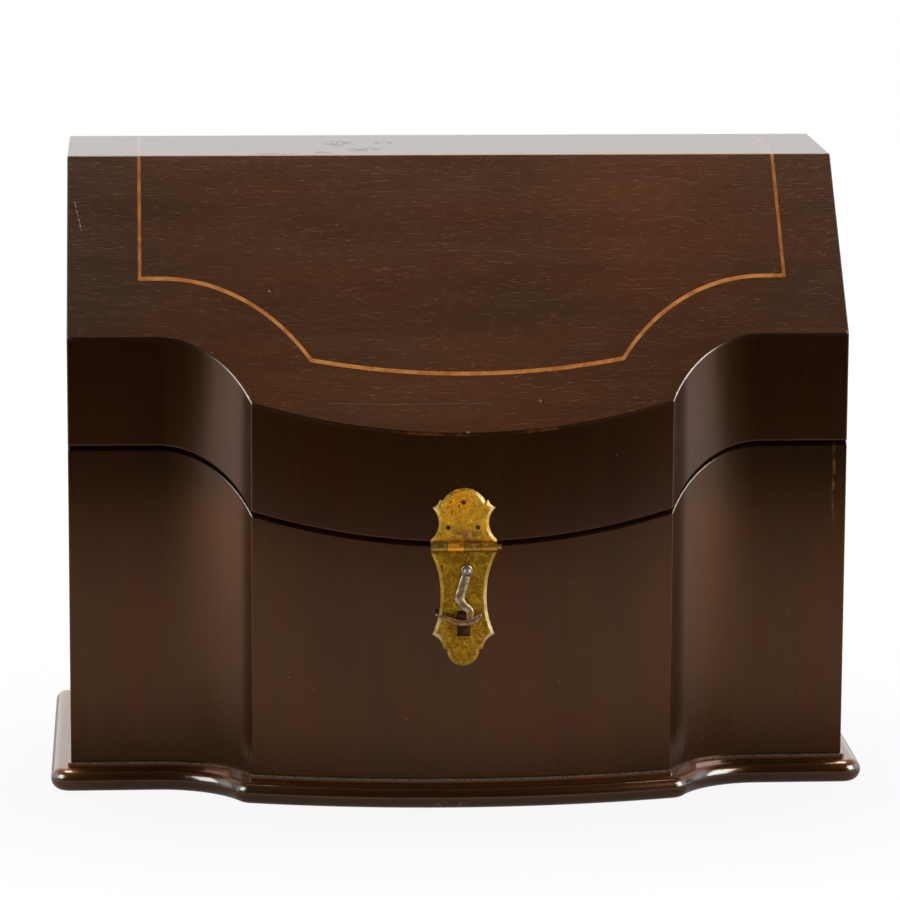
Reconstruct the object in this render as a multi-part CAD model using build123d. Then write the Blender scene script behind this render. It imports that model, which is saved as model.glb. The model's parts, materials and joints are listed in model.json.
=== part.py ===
from build123d import *

import os
from math import asin, atan, atan2, cos, degrees, hypot, pi, radians, sin, sqrt, tan

# Slant-lidded knife box with a serpentine front. Millimetres.
# Origin at the middle of the underside: +X to the right, +Y to the back, +Z up.
# The case and the lid are cut from one serpentine outline, so their pieces line up.

# ---------------------------------------------------------------- driving sizes
# Overall
case_width = 381.0
case_depth = 158.0            # flat part of the front to the back
total_height = 303.0
front_rim_height = 169.0      # height of the case's rim at the flat part of the front
lid_height = 55.5             # rim to lid top, measured upright, alike all the way round
slope_angle = 45.5            # of the rim and of the lid's front slope
joint_gap = 0.6               # dark line between the rim and the lid

# Serpentine front: flat ends, a hollow each side, a bow between two arrises
hollow_start = 148.0          # half-width where the flat turns into the hollow
hollow_radius = 52.5
bow_half_width = 102.0
bow_projection = 40.0         # bow's middle in front of the flat part

# Boards
front_thickness = 9.0
side_thickness = 8.0
back_thickness = 11.0
bottom_thickness = 9.0
panel_thickness = 7.0         # lid boards under the veneer
veneer_thickness = 1.0
arris_radius = 1.0            # rounding of the outer edges
rim_radius = 0.8              # rounding of the case's rim

# Plinth moulding
moulding_height = 13.3
moulding_projection = 9.8
nose_height = 10.9            # half-round part of the moulding
quirk_width = 1.6             # small step between the nose and the case

# Stringing inlaid in the lid
stringing_width = 1.6         # seen from above
stringing_depth = 0.7
stringing_side_inset = 31.6
stringing_front_inset = 23.7  # flat part of the line behind the flat part of the front
stringing_hollow_start = 147.8
stringing_hollow_radius = 92.0
stringing_bow_half_width = 76.2
stringing_bow_projection = 40.2
stringing_offset = 3.1        # the line was laid a little to the right of the middle

# Pierced board for the knives
board_thickness = 7.0
board_clearance = 0.3
board_front_drop = 9.0        # below the rim at the bow
board_back_drop = 11.0        # below the rim at the back
bearer_width = 8.0
bearer_height = 9.0
slot_columns = 6
knife_slot = (8.0, 26.0)      # across, front to back
fork_slot = (24.0, 12.0)
slot_margin = 6.0             # wood left between a slot and the bearers or the back

# Rear butt hinges, their knuckles in a V groove that stops the lid
lid_stop_angle = 100.0
hinge_axis_inset = 2.8        # in front of the back face
hinge_spacing = 230.0
hinge_length = 44.0
hinge_knuckle_count = 5
hinge_knuckle_radius = 2.4
hinge_pin_radius = 1.1
hinge_leaf_width = 7.0
hinge_leaf_thickness = 1.3
screw_head_radius = 1.9
screw_shank_radius = 1.1
screw_length = 10.0
screw_slot = (0.5, 0.35)      # width and depth of the driver's slot
screw_spacing = 17.0
running_clearance = 0.05      # a pin in its knuckles
knuckle_gap = 0.2
knuckle_room = 0.3            # wood or metal round a turning knuckle
driving_clearance = 0.04      # a nail or screw in its hole
overshoot = 1.0               # cutters run this far past the faces that they cut
tolerance = 0.01              # for telling edges apart by where they lie

# Hasp: plate on the lid, leaf hanging over the case, hook on the leaf
hasp_x = -0.4
hasp_thickness = 1.2
hasp_barrel_radius = 2.45
hasp_barrel_half_length = 16.05
hasp_knuckle_count = 4
hasp_pin_radius = 0.85
hasp_pin_head_radius = 1.25
hasp_pin_head_length = 2.0
hasp_bevel_width = 1.5
hasp_bevel_depth = 0.6
hasp_rest_gap = 0.15          # turning parts stand this far off the wood
nail_places = ((-0.2, 21.6), (-7.6, 9.4), (6.8, 9.4))
nail_head_radius = 1.1
nail_shank_radius = 0.6
nail_dome_height = 0.6
nail_length = 8.0
slot_width = 6.3
slot_top = -31.7              # below the barrel's axis
slot_bottom = -44.1

# Staple: a strap bent into an eye, on a foot let into the case
staple_x = -1.3
staple_width = 3.4
staple_strap = 0.9
staple_projection = 3.95
staple_top_gap = 0.4          # under the top of the hasp's slot
staple_bottom_gap = 5.0       # over the bottom of the slot, so the slot lifts clear
staple_bend_radius = 1.35
staple_foot_overhang = 0.2    # of the foot past the eye on the left
staple_foot_width = 4.4
staple_foot_height = 13.0
staple_foot_thickness = 1.0
staple_leg_length = 7.0

# Hook and its rivet
rivet_place = (1.4, -11.5)    # from the hasp's middle and the barrel's axis
rivet_radius = 1.0
rivet_ball_radius = 2.2
rivet_ball_standoff = 1.54    # of the ball's middle in front of the hook's eye
washer_radius = 4.2
washer_thickness = 0.5
washer_edge_radius = 0.3
hook_eye_radius = 2.9
hook_eye_thickness = 1.6
hook_lift = 2.3               # the hook's tail stands this much further out than its eye
hook_gap = 0.1

# ---------------------------------------------------------------- derived sizes
half_width = case_width / 2
front_y = -case_depth / 2
back_y = case_depth / 2
slope = tan(radians(slope_angle))
slope_cos = cos(radians(slope_angle))
flat_rim_height = total_height - lid_height
rim_break_y = front_y + (flat_rim_height - front_rim_height) / slope
inner_half_width = half_width - side_thickness
inner_front_y = front_y + front_thickness
inner_back_y = back_y - back_thickness
bow_y = front_y - bow_projection
far = 2 * (case_width + case_depth + total_height)

hinge_y = back_y - hinge_axis_inset
hinge_z = flat_rim_height + joint_gap / 2
hasp_axis_y = bow_y - hasp_rest_gap - hasp_barrel_radius
hasp_axis_z = front_rim_height - bow_projection * slope + joint_gap / 2
leaf_back_y = bow_y - hasp_rest_gap
leaf_front_y = leaf_back_y - hasp_thickness


def rim_z(y):
    """Height of the case's rim at a distance from front to back."""
    return min(front_rim_height + (y - front_y) * slope, flat_rim_height)


# ---------------------------------------------------------------- plan outlines
def circle_crossing(centre_a, radius_a, centre_b, radius_b, near):
    """The crossing of two circles that lies nearer to a point."""
    dx = centre_b[0] - centre_a[0]
    dy = centre_b[1] - centre_a[1]
    apart = hypot(dx, dy)
    along = (radius_a**2 - radius_b**2 + apart**2) / (2 * apart)
    across = sqrt(radius_a**2 - along**2)
    foot = (centre_a[0] + along * dx / apart, centre_a[1] + along * dy / apart)
    crossings = [
        (foot[0] + side * across * dy / apart, foot[1] - side * across * dx / apart)
        for side in (1, -1)
    ]
    return min(crossings, key=lambda p: hypot(p[0] - near[0], p[1] - near[1]))


class Serpentine:
    """Serpentine line across the front: flat, hollow, bow, hollow, flat."""

    def __init__(self, flat_y, start, radius, half, projection):
        self.flat_y = flat_y
        self.start = start
        self.hollow_radius = radius
        arris_y = flat_y - (radius - sqrt(radius**2 - (start - half) ** 2))
        rise = projection - (flat_y - arris_y)
        self.arris = (half, arris_y)
        self.bow_radius = (half**2 + rise**2) / (2 * rise)
        self.hollow_centre = (start, flat_y - radius)
        self.bow_centre = (0.0, flat_y - projection + self.bow_radius)

    def corner(self, inset):
        """Right-hand arris of the line, moved back by inset."""
        return circle_crossing(
            self.hollow_centre,
            self.hollow_radius + inset,
            self.bow_centre,
            self.bow_radius - inset,
            self.arris,
        )

    def behind(self, inset):
        """Everything behind the line, moved back by inset."""
        corner = self.corner(inset)
        radius = self.hollow_radius + inset
        cx, cy = self.hollow_centre
        middle_angle = (pi / 2 + atan2(corner[1] - cy, corner[0] - cx)) / 2
        middle = (cx + radius * cos(middle_angle), cy + radius * sin(middle_angle))
        start = (self.start, self.flat_y + inset)
        bow = (0.0, self.bow_centre[1] - self.bow_radius + inset)
        end = (far, self.flat_y + inset)
        edges = [
            Line(mirrored(end), mirrored(start)),
            ThreePointArc(mirrored(start), mirrored(middle), mirrored(corner)),
            ThreePointArc(mirrored(corner), bow, corner),
            ThreePointArc(corner, middle, start),
            Line(start, end),
            Line(end, (far, far)),
            Line((far, far), (-far, far)),
            Line((-far, far), mirrored(end)),
        ]
        return make_face(edges)


def mirrored(point):
    return (-point[0], point[1])


def rectangle(x0, x1, y0, y1):
    return Pos((x0 + x1) / 2, (y0 + y1) / 2) * Rectangle(x1 - x0, y1 - y0)


front_line = Serpentine(front_y, hollow_start, hollow_radius, bow_half_width, bow_projection)


def plan(front_inset=0.0, side_inset=0.0, back_inset=0.0):
    """Outline of the box seen from above, moved in on each side."""
    half = half_width - side_inset
    return front_line.behind(front_inset) & rectangle(-half, half, -far, back_y - back_inset)


# ---------------------------------------------------------------- solid helpers
def upright(face, bottom=0.0, top=total_height):
    """A plan face made into a prism between two heights."""
    return extrude(Pos(0, 0, bottom) * face, amount=top - bottom)


def across(points, half=far):
    """A profile in the plane of depth and height, extruded across the box."""
    return extrude(Plane.YZ * Polygon(*points, align=None), amount=half, both=True)


def block(x0, x1, y0, y1, z0, z1):
    return Pos((x0 + x1) / 2, (y0 + y1) / 2, (z0 + z1) / 2) * Box(x1 - x0, y1 - y0, z1 - z0)


def x_cylinder(radius, x0, x1, y, z):
    return Pos((x0 + x1) / 2, y, z) * Rot(0, 90, 0) * Cylinder(radius, x1 - x0)


def y_cylinder(radius, x, y0, y1, z):
    return Pos(x, (y0 + y1) / 2, z) * Rot(90, 0, 0) * Cylinder(radius, y1 - y0)


def mirror_x(shape):
    return mirror(shape, about=Plane.YZ)


parts = {}


def save(name, shape):
    """Keeps one sub-part under its name."""
    parts[name] = shape


# ---------------------------------------------------------------- envelopes
def edge_to_round(edge):
    """Leaves out the seam where the flat runs smoothly into the hollow."""
    at_seam = abs(abs(edge.center().X) - hollow_start) < tolerance
    return not (at_seam and edge.geom_type == GeomType.LINE)


def lies_at(edge, x, y):
    """Whether an edge's middle is at this place in plan."""
    return abs(edge.center().X - x) < tolerance and abs(edge.center().Y - y) < tolerance


def hinge_groove():
    """V groove along the back; its two faces meet when the lid is fully open."""
    reach = 2 * hinge_axis_inset
    rise = reach * tan(radians(lid_stop_angle / 2))
    return across(
        [(hinge_y, hinge_z), (hinge_y + reach, hinge_z + rise), (hinge_y + reach, hinge_z - rise)]
    )


def case_envelope():
    """Solid block with the case's outer shape, up to the rim."""
    low = rim_z(front_y) - (far - abs(front_y)) * slope
    below_rim = across(
        [
            (-far, low - far),
            (-far, low),
            (rim_break_y, flat_rim_height),
            (far, flat_rim_height),
            (far, low - far),
        ]
    )
    body = upright(plan()) & below_rim
    rim_edges = [e for e in body.edges() if edge_to_round(e) and e.center().Z > moulding_height]
    rounded = [e for e in rim_edges if not lies_at(e, 0.0, rim_break_y)]
    return fillet(rounded, rim_radius) - hinge_groove()


def lid_envelope():
    """Solid block with the lid's outer shape."""
    low = rim_z(front_y) - (far - abs(front_y)) * slope
    band = across(
        [
            (-far, low + joint_gap),
            (rim_break_y, flat_rim_height + joint_gap),
            (far, flat_rim_height + joint_gap),
            (far, total_height),
            (rim_break_y, total_height),
            (-far, low + lid_height),
        ]
    )
    body = upright(plan()) & band
    return fillet([e for e in body.edges() if edge_to_round(e)], arris_radius) - hinge_groove()


def lid_layer(top_drop, bottom_drop, sloping):
    """Layer of the lid between two depths under its surface: the slope or the flat top."""

    def break_y(drop):
        return rim_break_y + drop * (1 / slope_cos - 1) / slope

    def slope_z(y, drop):
        return total_height + (y - rim_break_y) * slope - drop / slope_cos

    outer = (break_y(top_drop), total_height - top_drop)
    inner = (break_y(bottom_drop), total_height - bottom_drop)
    if sloping:
        return across([(-far, slope_z(-far, top_drop)), outer, inner, (-far, slope_z(-far, bottom_drop))])
    return across([outer, (far, total_height - top_drop), (far, total_height - bottom_drop), inner])


case_block = case_envelope()
lid_block = lid_envelope()
under_veneer = lid_block
for sloping_layer in (True, False):
    under_veneer -= lid_layer(-overshoot, veneer_thickness, sloping_layer)


# ---------------------------------------------------------------- boards
def front_sector():
    """Plan area in front of the two corner mitres."""
    return make_face(
        Polyline(
            (-half_width, front_y),
            (-inner_half_width, inner_front_y),
            (inner_half_width, inner_front_y),
            (half_width, front_y),
            (half_width, -far),
            (-half_width, -far),
            (-half_width, front_y),
        )
    )


def bow_sector():
    """Plan area between the two joints behind the bow's arrises."""
    outer = front_line.corner(0)
    inner = front_line.corner(front_thickness)
    return make_face(
        Polyline(
            mirrored(outer),
            mirrored(inner),
            inner,
            outer,
            (outer[0], -far),
            (-outer[0], -far),
            mirrored(outer),
        )
    )


def front_plans():
    """Plans of the left, bow and right pieces of the serpentine front."""
    shell = (plan() - front_line.behind(front_thickness)) & front_sector()
    ends = shell - bow_sector()
    left = ends & rectangle(-far, 0, -far, far)
    right = ends & rectangle(0, far, -far, far)
    return left, shell & bow_sector(), right


def side_plan():
    """Plan of the right-hand side, mitred to the front and running past the back."""
    return rectangle(inner_half_width, half_width, front_y, back_y) - front_sector()


def back_plan():
    return rectangle(-inner_half_width, inner_half_width, inner_back_y, back_y)


def inside_plan(clearance=0.0):
    return plan(front_thickness + clearance, side_thickness + clearance, back_thickness + clearance)


def make_boards():
    """Front pieces, sides and backs of the case and of the lid."""
    for owner, envelope in (("case", case_block), ("lid", under_veneer)):
        for place, face in zip(("left", "bow", "right"), front_plans()):
            save(f"{owner}_front_{place}", upright(face) & envelope)
        side = upright(side_plan()) & envelope
        save(f"{owner}_right_side", side)
        save(f"{owner}_left_side", mirror_x(side))
        save(f"{owner}_back", upright(back_plan()) & envelope)
    save("case_bottom", upright(inside_plan(), 0, bottom_thickness))


# ---------------------------------------------------------------- plinth moulding
def moulding_face(point, outward):
    """Moulding's section, standing at a point and facing outward (degrees)."""
    nose = nose_height / 2
    flat = moulding_projection - nose
    section = make_face(
        [
            Line((0, 0), (flat, 0)),
            ThreePointArc((flat, 0), (moulding_projection, nose), (flat, nose_height)),
            Line((flat, nose_height), (quirk_width, nose_height)),
            Line((quirk_width, nose_height), (quirk_width, moulding_height)),
            Line((quirk_width, moulding_height), (0, moulding_height)),
            Line((0, moulding_height), (0, 0)),
        ]
    )
    angle = radians(outward)
    direction = Vector(cos(angle), sin(angle), 0)
    plane = Plane(origin=(point[0], point[1], 0), x_dir=direction, z_dir=direction.cross(Vector(0, 0, 1)))
    return plane * section


def moulding_turn(point, outward, pivot, turn):
    """Moulding swept round an upright axis."""
    axis = Axis((pivot[0], pivot[1], 0), (0, 0, 1 if turn > 0 else -1))
    return revolve(moulding_face(point, outward), axis, abs(turn))


def moulding_run(start, end, outward):
    """Moulding along a straight edge."""
    travel = Vector(end[0] - start[0], end[1] - start[1], 0)
    return extrude(moulding_face(start, outward), amount=travel.length, dir=travel.normalized())


def make_moulding():
    """Three mitred lengths; they turn the arrises and the front corners in plan."""
    corner = (-half_width, front_y)
    seam = (-hollow_start, front_y)
    arris = mirrored(front_line.corner(0))
    hollow = mirrored(front_line.hollow_centre)
    hollow_end = degrees(atan2(arris[1] - hollow[1], arris[0] - hollow[0]))
    bow_start = degrees(atan2(arris[1] - front_line.bow_centre[1], arris[0])) % 360
    left_half = moulding_turn(corner, 225, corner, 45)
    left_half += moulding_run(corner, seam, 270)
    left_half += moulding_turn(seam, 270, hollow, hollow_end - 90)
    left_half += moulding_turn(arris, 180 + hollow_end, arris, bow_start - 180 - hollow_end)
    left_half += moulding_turn(arris, bow_start, front_line.bow_centre, 270 - bow_start)
    save("base_moulding_front", left_half + mirror_x(left_half))
    side = moulding_turn(corner, 180, corner, 45) + moulding_run(corner, (-half_width, back_y), 180)
    save("base_moulding_left", side)
    save("base_moulding_right", mirror_x(side))


# ---------------------------------------------------------------- lid covering
def stringing_plan():
    """Band of the inlaid line, seen from above: two sides and a serpentine front."""
    line = Serpentine(
        front_y + stringing_front_inset,
        stringing_hollow_start,
        stringing_hollow_radius,
        stringing_bow_half_width,
        stringing_bow_projection,
    )
    outer_half = half_width - stringing_side_inset
    inner_half = outer_half - stringing_width
    outer = line.behind(0) & rectangle(-outer_half, outer_half, -far, far)
    inner = line.behind(stringing_width) & rectangle(-inner_half, inner_half, -far, far)
    return Pos(stringing_offset, 0) * (outer - inner)


def make_lid_covering():
    """Boards under the veneer, the two veneers and the line inlaid in them."""
    inside = upright(inside_plan())
    band = upright(stringing_plan())
    for part_name, sloping in (("slope", True), ("top", False)):
        board = lid_layer(veneer_thickness, veneer_thickness + panel_thickness, sloping)
        save(f"lid_{part_name}_board", inside & board)
        veneer = lid_block & lid_layer(-overshoot, veneer_thickness, sloping)
        inlay = veneer & band & lid_layer(-overshoot, stringing_depth, sloping)
        save(f"{part_name}_veneer", veneer - inlay)
        save(f"{part_name}_stringing", inlay)


# ---------------------------------------------------------------- knife board
board_front_y = bow_y + front_thickness
board_front_z = rim_z(board_front_y) - board_front_drop
board_back_z = flat_rim_height - board_back_drop
board_slope = (board_back_z - board_front_z) / (inner_back_y - board_front_y)
board_cos = cos(atan(board_slope))


def board_layer(top_drop, bottom_drop):
    """Sloping layer at two depths under the knife board's surface."""

    def height(y, drop):
        return board_front_z + (y - board_front_y) * board_slope - drop / board_cos

    corners = [(-far, top_drop), (far, top_drop), (far, bottom_drop), (-far, bottom_drop)]
    return across([(y, height(y, drop)) for y, drop in corners])


def slot_centres():
    """Slot middles and sizes: two rows for knives and, behind them, one for forks."""
    usable = 2 * (inner_half_width - bearer_width - slot_margin)
    pitch = usable / slot_columns
    front_edge = inner_front_y + slot_margin
    back_edge = inner_back_y - slot_margin
    fork_y = back_edge - fork_slot[1] / 2
    knife_room = back_edge - fork_slot[1] - front_edge
    rows = [
        (front_edge + knife_room / 4, knife_slot),
        (front_edge + 3 * knife_room / 4 - slot_margin / 2, knife_slot),
        (fork_y, fork_slot),
    ]
    columns = [(i - (slot_columns - 1) / 2) * pitch for i in range(slot_columns)]
    return [(x, y, size) for y, size in rows for x in columns]


def make_knife_board():
    """Pierced board and the two bearers it lies on."""
    board = upright(inside_plan(board_clearance)) & board_layer(0, board_thickness)
    for x, y, (width, depth) in slot_centres():
        board -= upright(rectangle(x - width / 2, x + width / 2, y - depth / 2, y + depth / 2))
    save("knife_board", board)
    under_board = board_layer(board_thickness, board_thickness + bearer_height * board_cos)
    bearer_plan = rectangle(inner_half_width - bearer_width, inner_half_width, inner_front_y, inner_back_y)
    bearer = upright(bearer_plan) & under_board
    save("board_bearer_right", bearer)
    save("board_bearer_left", mirror_x(bearer))


# ---------------------------------------------------------------- rear hinges
def screw(x, y, top_z, direction):
    """Countersunk screw, driven down (-1) or up (+1) from a face."""
    sink = screw_head_radius - screw_shank_radius
    head = Pos(0, 0, -sink / 2) * Cone(screw_shank_radius, screw_head_radius, sink)
    shank = Pos(0, 0, -screw_length / 2) * Cylinder(screw_shank_radius, screw_length)
    width, depth = screw_slot
    body = head + shank - Box(3 * screw_head_radius, width, 2 * depth)
    turned = body if direction < 0 else Rot(180, 0, 0) * body
    return Pos(x, y, top_z) * turned


def screw_hole(x, y, top_z, direction, clearance):
    """Room for a screw: countersink and shank."""
    sink = screw_head_radius - screw_shank_radius
    head = Pos(0, 0, -sink / 2) * Cone(screw_shank_radius + clearance, screw_head_radius + clearance, sink)
    shank = Pos(0, 0, -screw_length / 2) * Cylinder(screw_shank_radius + clearance, screw_length + clearance)
    body = head + shank
    turned = body if direction < 0 else Rot(180, 0, 0) * body
    return Pos(x, y, top_z) * turned


def knuckle_spans(left, right, count, gap):
    """Start and end of each knuckle along a barrel."""
    pitch = (right - left) / count
    return [(left + i * pitch + gap / 2, left + (i + 1) * pitch - gap / 2) for i in range(count)]


def make_hinge(side_name, middle_x):
    """One butt hinge with its case leaf, lid leaf and pin, and its beds in the wood."""
    left = middle_x - hinge_length / 2
    right = middle_x + hinge_length / 2
    spans = knuckle_spans(left, right, hinge_knuckle_count, knuckle_gap)
    front = hinge_y - hinge_leaf_width
    screw_y = (front + hinge_y - hinge_knuckle_radius) / 2
    for owner, direction, own in (("case", -1, spans[0::2]), ("lid", 1, spans[1::2])):
        others = [span for span in spans if span not in own]
        face = hinge_z + direction * joint_gap / 2
        back = face + direction * hinge_leaf_thickness
        leaf = block(left, right, front, hinge_y, min(face, back), max(face, back))
        for start, end in others:
            leaf -= x_cylinder(hinge_knuckle_radius + knuckle_room, start - knuckle_gap, end + knuckle_gap,
                               hinge_y, hinge_z)
        for start, end in own:
            leaf += x_cylinder(hinge_knuckle_radius, start, end, hinge_y, hinge_z)
        leaf -= x_cylinder(hinge_pin_radius + running_clearance, left - overshoot, right + overshoot,
                           hinge_y, hinge_z)
        bed = block(left, right, front, hinge_y, min(face, back), max(face, back))
        bed += x_cylinder(hinge_knuckle_radius + knuckle_room, left - knuckle_room, right + knuckle_room,
                          hinge_y, hinge_z)
        wood = parts[f"{owner}_back"] - bed
        screws = parts.get(f"hinge_{owner}_screws")
        for x in (middle_x - screw_spacing, middle_x, middle_x + screw_spacing):
            hole = screw_hole(x, screw_y, face, direction, driving_clearance)
            leaf -= hole
            wood -= hole
            one = screw(x, screw_y, face, direction)
            screws = one if screws is None else screws + one
        save(f"{owner}_back", wood)
        save(f"hinge_{owner}_screws", screws)
        save(f"hinge_{side_name}_{owner}_leaf", leaf)
    save(f"hinge_{side_name}_pin", x_cylinder(hinge_pin_radius, left, right, hinge_y, hinge_z))


# ---------------------------------------------------------------- hasp
def symmetric_plate(edges_right, y_front, thickness):
    """Plate whose right half is given in the plane of width and height, thickness to the back."""
    half = make_face(edges_right)
    plane = Plane(origin=(hasp_x, y_front, hasp_axis_z), x_dir=(1, 0, 0), z_dir=(0, 1, 0))
    face = half + mirror(half, about=Plane.YZ)
    return extrude(plane * mirror(face, about=Plane.XZ), amount=thickness)


def bevelled(plate, y_front):
    """Plate with its front edges bevelled, apart from the edge at the barrel."""
    edges = [
        edge
        for edge in plate.edges()
        if abs(edge.center().Y - y_front) < tolerance
        and abs(edge.center().Z - hasp_axis_z) > hasp_barrel_radius
    ]
    return chamfer(edges, hasp_bevel_depth, hasp_bevel_width)


def round_end(half, side, end):
    """Half of a round end: an arc from its side to the middle line, square to that line."""
    rise = end - side
    radius = (half**2 + rise**2) / (2 * rise)
    angle = asin(half / abs(radius)) / 2
    middle = (abs(radius) * sin(angle), end - radius + radius * cos(angle))
    return ThreePointArc((half, side), middle, (0, end))


def hasp_plate_outline():
    """Upper plate: waist, horns and domed head, from the barrel up."""
    return [
        Line((0, 0.8), (16.0, 0.8)),
        Line((16.0, 0.8), (15.9, 3.3)),
        ThreePointArc((15.9, 3.3), (12.1, 10.4), (15.2, 19.1)),
        ThreePointArc((15.2, 19.1), (13.0, 20.4), (11.6, 22.9)),
        Line((11.6, 22.9), (10.2, 22.3)),
        round_end(10.2, 22.3, 28.5),
        Line((0, 28.5), (0, 0.8)),
    ]


def hasp_leaf_outline():
    """Lower leaf: long waist, horns and round tail, from the barrel down."""
    return [
        Line((0, -0.8), (16.0, -0.8)),
        Line((16.0, -0.8), (15.7, -3.4)),
        ThreePointArc((15.7, -3.4), (12.6, -11.6), (11.2, -21.0)),
        ThreePointArc((11.2, -21.0), (11.8, -33.0), (15.0, -43.3)),
        ThreePointArc((15.0, -43.3), (11.4, -46.0), (9.5, -50.4)),
        Line((9.5, -50.4), (7.7, -51.2)),
        round_end(7.7, -51.2, -58.9),
        Line((0, -58.9), (0, -0.8)),
    ]


def hasp_barrel(body, own, others):
    """Gives a plate its own knuckles and room for those of the other plate."""
    for start, end in others:
        body -= x_cylinder(hasp_barrel_radius + knuckle_room, start - knuckle_gap, end + knuckle_gap,
                           hasp_axis_y, hasp_axis_z)
    for start, end in own:
        body += x_cylinder(hasp_barrel_radius, start, end, hasp_axis_y, hasp_axis_z)
    reach = 2 * hasp_barrel_half_length
    return body - x_cylinder(hasp_pin_radius + running_clearance, hasp_x - reach, hasp_x + reach,
                             hasp_axis_y, hasp_axis_z)


def make_nails(plate):
    """Three domed nails through the plate into the lid's bow."""
    front = bow_y - hasp_thickness
    nails = None
    wood = parts["lid_front_bow"]
    for x, z in nail_places:
        place_x = hasp_x + x
        place_z = hasp_axis_z + z
        ball = Pos(place_x, front, place_z) * Sphere(nail_head_radius)
        dome = ball & y_cylinder(2 * nail_head_radius, place_x, front - nail_dome_height, front, place_z)
        nail = dome + y_cylinder(nail_shank_radius, place_x, front, front + nail_length, place_z)
        nails = nail if nails is None else nails + nail
        hole = y_cylinder(nail_shank_radius + driving_clearance, place_x, front - overshoot,
                          front + nail_length + driving_clearance, place_z)
        plate -= hole
        wood -= hole
    save("hasp_nails", nails)
    save("lid_front_bow", wood)
    return plate


def make_hasp():
    """Plate on the lid, hanging leaf with its slot, and the pin between them."""
    spans = knuckle_spans(hasp_x - hasp_barrel_half_length, hasp_x + hasp_barrel_half_length,
                          hasp_knuckle_count, knuckle_gap)
    plate_front = bow_y - hasp_thickness
    plate = bevelled(symmetric_plate(hasp_plate_outline(), plate_front, hasp_thickness), plate_front)
    save("hasp_plate", hasp_barrel(make_nails(plate), spans[0::2], spans[1::2]))
    leaf = bevelled(symmetric_plate(hasp_leaf_outline(), leaf_front_y, hasp_thickness), leaf_front_y)
    leaf -= block(hasp_x - slot_width / 2, hasp_x + slot_width / 2, leaf_front_y - overshoot,
                  leaf_back_y + overshoot, hasp_axis_z + slot_bottom, hasp_axis_z + slot_top)
    leaf -= y_cylinder(rivet_radius + driving_clearance, hasp_x + rivet_place[0], leaf_front_y - overshoot,
                       leaf_back_y + overshoot, hasp_axis_z + rivet_place[1])
    save("hasp_leaf", hasp_barrel(leaf, spans[1::2], spans[0::2]))
    left = hasp_x - hasp_barrel_half_length
    right = hasp_x + hasp_barrel_half_length
    pin = x_cylinder(hasp_pin_radius, left, right + 0.5, hasp_axis_y, hasp_axis_z)
    pin += x_cylinder(hasp_pin_head_radius, right + knuckle_gap, right + hasp_pin_head_length,
                      hasp_axis_y, hasp_axis_z)
    save("hasp_pin", pin)


def make_staple():
    """Strap eye on a foot that is let into the bow flush with its face."""
    top = hasp_axis_z + slot_top - staple_top_gap
    bottom = hasp_axis_z + slot_bottom + staple_bottom_gap
    foot_bottom = top - staple_foot_height
    x0 = staple_x - staple_width / 2
    x1 = staple_x + staple_width / 2
    foot_x0 = x0 - staple_foot_overhang
    foot_x1 = foot_x0 + staple_foot_width
    front = bow_y - staple_projection
    foot_back = bow_y + staple_foot_thickness
    leg_back = bow_y + staple_leg_length
    outer = block(x0, x1, front, leg_back, bottom, top)
    outer = fillet([e for e in outer.edges() if lies_at(e, staple_x, front)], staple_bend_radius)
    inner = block(x0 - overshoot, x1 + overshoot, front + staple_strap, bow_y + far,
                  bottom + staple_strap, top - staple_strap)
    foot = block(foot_x0, foot_x1, bow_y, foot_back, foot_bottom, top)
    save("staple", outer - inner + foot)
    room = block(foot_x0, foot_x1, bow_y - overshoot, foot_back, foot_bottom, top)
    room += block(x0, x1, bow_y - overshoot, leg_back, bottom, bottom + staple_strap)
    room += block(x0, x1, bow_y - overshoot, leg_back, top - staple_strap, top)
    save("case_front_bow", parts["case_front_bow"] - room)


# ---------------------------------------------------------------- hook
hook_arm = (                  # across, down, half-width, from the rivet
    (-0.3, -2.0, 1.9),
    (-0.9, -6.0, 2.1),
    (-3.2, -12.8, 2.0),
    (0.4, -17.2, 1.7),
    (2.2, -20.6, 1.5),
    (1.4, -24.8, 1.4),
)
hook_tail = (
    (6.6, -22.9, 0.9),
    (2.4, -24.9, 1.5),
    (-3.6, -25.7, 1.5),
    (-9.4, -24.2, 1.2),
    (-16.0, -21.4, 0.4),
)
hook_bend_start = -5.0        # the shank leans outward between these heights
hook_bend_end = -13.0


def tapered_bar(start, end):
    """Bar with two round ends of their own sizes, in the hook's plane."""
    circles = [Pos(x, z) * Circle(half) for x, z, half in (start, end)]
    return make_hull([edge for circle in circles for edge in circle.edges()])


def hook_outline():
    """Eye, swan-necked shank and the tail lying across its foot."""
    outline = Circle(hook_eye_radius)
    for points in (hook_arm, hook_tail):
        for start, end in zip(points, points[1:]):
            outline += tapered_bar(start, end)
    return outline


def hook_side_profile(eye_back):
    """Side view of the hook: the eye, the lean and the tail, as depth and height."""
    back = [(0, far), (0, hook_bend_start), (-hook_lift, hook_bend_end), (-hook_lift, -far)]
    front = [(y - hook_eye_thickness, z) for y, z in reversed(back)]
    return [(eye_back + y, z) for y, z in back + front]


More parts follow.
